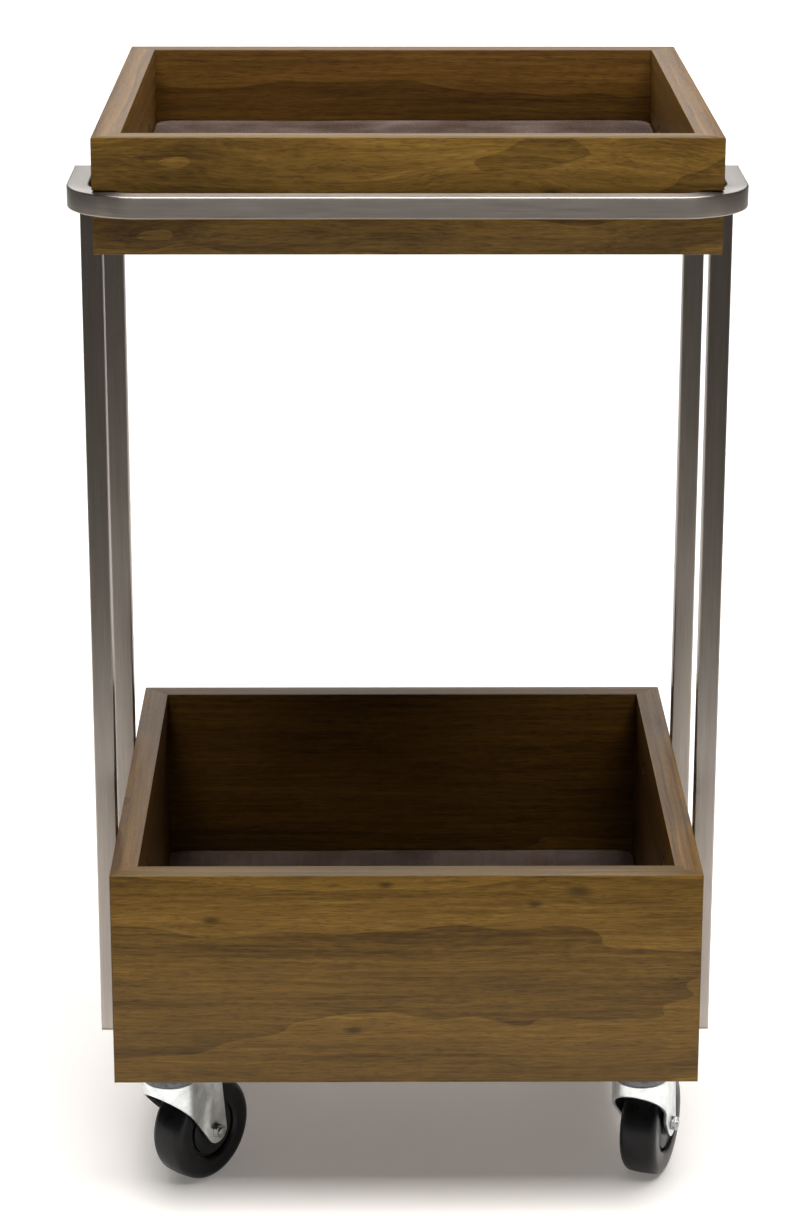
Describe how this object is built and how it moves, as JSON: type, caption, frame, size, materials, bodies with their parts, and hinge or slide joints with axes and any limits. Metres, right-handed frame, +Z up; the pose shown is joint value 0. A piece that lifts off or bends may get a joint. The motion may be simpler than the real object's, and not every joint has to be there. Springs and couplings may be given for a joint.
{
  "type": "two-tier serving trolley",
  "caption": "Square wooden tray over a deep wooden box, carried by steel square-tube legs, with a wrap-round front handle and swivel casters.",
  "frame": {"origin": "on the floor, at the middle of the overall width and length", "axes": "+Z up, +X to the right of someone who faces the front, the front with the handle faces -Y"},
  "size_m": [0.4586, 0.4314, 0.794],
  "materials": {
    "walnut": "oiled walnut",
    "clear_sheet": "clear flexible sheet, glossy",
    "brushed_steel": "brushed lengthwise",
    "zinc_plate": "bright zinc plated, pressed",
    "fastener_steel": "zinc plated",
    "dark_steel": "dark grease-stained steel",
    "wheel_rubber": "satin black"
  },
  "bodies": {
    "root": {"tray_front_board": "walnut", "tray_rear_board": "walnut", "tray_left_board": "walnut", "tray_right_board": "walnut", "box_front_board": "walnut", "box_rear_board": "walnut", "box_left_board": "walnut", "box_right_board": "walnut", "tray_bottom_panel": "walnut", "box_bottom_panel": "walnut", "leg_front_left": "brushed_steel", "leg_front_right": "brushed_steel", "leg_rear_left": "brushed_steel", "leg_rear_right": "brushed_steel", "leg_top_plates": "brushed_steel", "leg_foot_plates": "brushed_steel", "handle_end_plates": "brushed_steel", "handle": "brushed_steel", "leg_bolts": "fastener_steel", "leg_inserts": "fastener_steel", "caster_screws": "fastener_steel", "caster_plate_front_left": "zinc_plate", "caster_kingpin_front_left": "fastener_steel", "caster_plate_front_right": "zinc_plate", "caster_kingpin_front_right": "fastener_steel", "caster_plate_rear_left": "zinc_plate", "caster_kingpin_rear_left": "fastener_steel", "caster_plate_rear_right": "zinc_plate", "caster_kingpin_rear_right": "fastener_steel"},
    "tray_sheet": {"tray_floor_sheet": "clear_sheet"},
    "box_sheet": {"box_floor_sheet": "clear_sheet"},
    "swivel_front_left": {"caster_fork_front_left": "zinc_plate", "caster_race_front_left": "dark_steel", "caster_axle_bolt_front_left": "fastener_steel", "caster_axle_nut_front_left": "fastener_steel", "caster_sleeve_front_left": "fastener_steel"},
    "wheel_front_left": {"caster_wheel_front_left": "wheel_rubber"},
    "swivel_front_right": {"caster_fork_front_right": "zinc_plate", "caster_race_front_right": "dark_steel", "caster_axle_bolt_front_right": "fastener_steel", "caster_axle_nut_front_right": "fastener_steel", "caster_sleeve_front_right": "fastener_steel"},
    "wheel_front_right": {"caster_wheel_front_right": "wheel_rubber"},
    "swivel_rear_left": {"caster_fork_rear_left": "zinc_plate", "caster_race_rear_left": "dark_steel", "caster_axle_bolt_rear_left": "fastener_steel", "caster_axle_nut_rear_left": "fastener_steel", "caster_sleeve_rear_left": "fastener_steel"},
    "wheel_rear_left": {"caster_wheel_rear_left": "wheel_rubber"},
    "swivel_rear_right": {"caster_fork_rear_right": "zinc_plate", "caster_race_rear_right": "dark_steel", "caster_axle_bolt_rear_right": "fastener_steel", "caster_axle_nut_rear_right": "fastener_steel", "caster_sleeve_rear_right": "fastener_steel"},
    "wheel_rear_right": {"caster_wheel_rear_right": "wheel_rubber"}
  },
  "joints": [
    {"name": "tray_sheet_lift", "type": "slide", "parent": "root", "child": "tray_sheet", "axis": [0, 0, 1], "range_m": [0, 0.08]},
    {"name": "box_sheet_lift", "type": "slide", "parent": "root", "child": "box_sheet", "axis": [0, 0, 1], "range_m": [0, 0.2]},
    {"name": "swivel_front_left", "type": "hinge", "parent": "root", "child": "swivel_front_left", "pos_m": [-0.173, -0.14335, 0], "axis": [0, 0, 1], "continuous": true},
    {"name": "spin_front_left", "type": "hinge", "parent": "swivel_front_left", "child": "wheel_front_left", "pos_m": [-0.15275, -0.11922, 0.04], "axis": [0.766, -0.6428, 0], "continuous": true},
    {"name": "swivel_front_right", "type": "hinge", "parent": "root", "child": "swivel_front_right", "pos_m": [0.173, -0.14335, 0], "axis": [0, 0, 1], "continuous": true},
    {"name": "spin_front_right", "type": "hinge", "parent": "swivel_front_right", "child": "wheel_front_right", "pos_m": [0.18377, -0.11375, 0.04], "axis": [0.9397, -0.342, 0], "continuous": true},
    {"name": "swivel_rear_left", "type": "hinge", "parent": "root", "child": "swivel_rear_left", "pos_m": [-0.173, 0.16265, 0], "axis": [0, 0, 1], "continuous": true},
    {"name": "spin_rear_left", "type": "hinge", "parent": "swivel_rear_left", "child": "wheel_rear_left", "pos_m": [-0.14469, 0.17646, 0.04], "axis": [0.4384, -0.8988, 0], "continuous": true},
    {"name": "swivel_rear_right", "type": "hinge", "parent": "root", "child": "swivel_rear_right", "pos_m": [0.173, 0.16265, 0], "axis": [0, 0, 1], "continuous": true},
    {"name": "spin_rear_right", "type": "hinge", "parent": "swivel_rear_right", "child": "wheel_rear_right", "pos_m": [0.14572, 0.1784, 0.04], "axis": [0.5, 0.866, 0], "continuous": true}
  ]
}
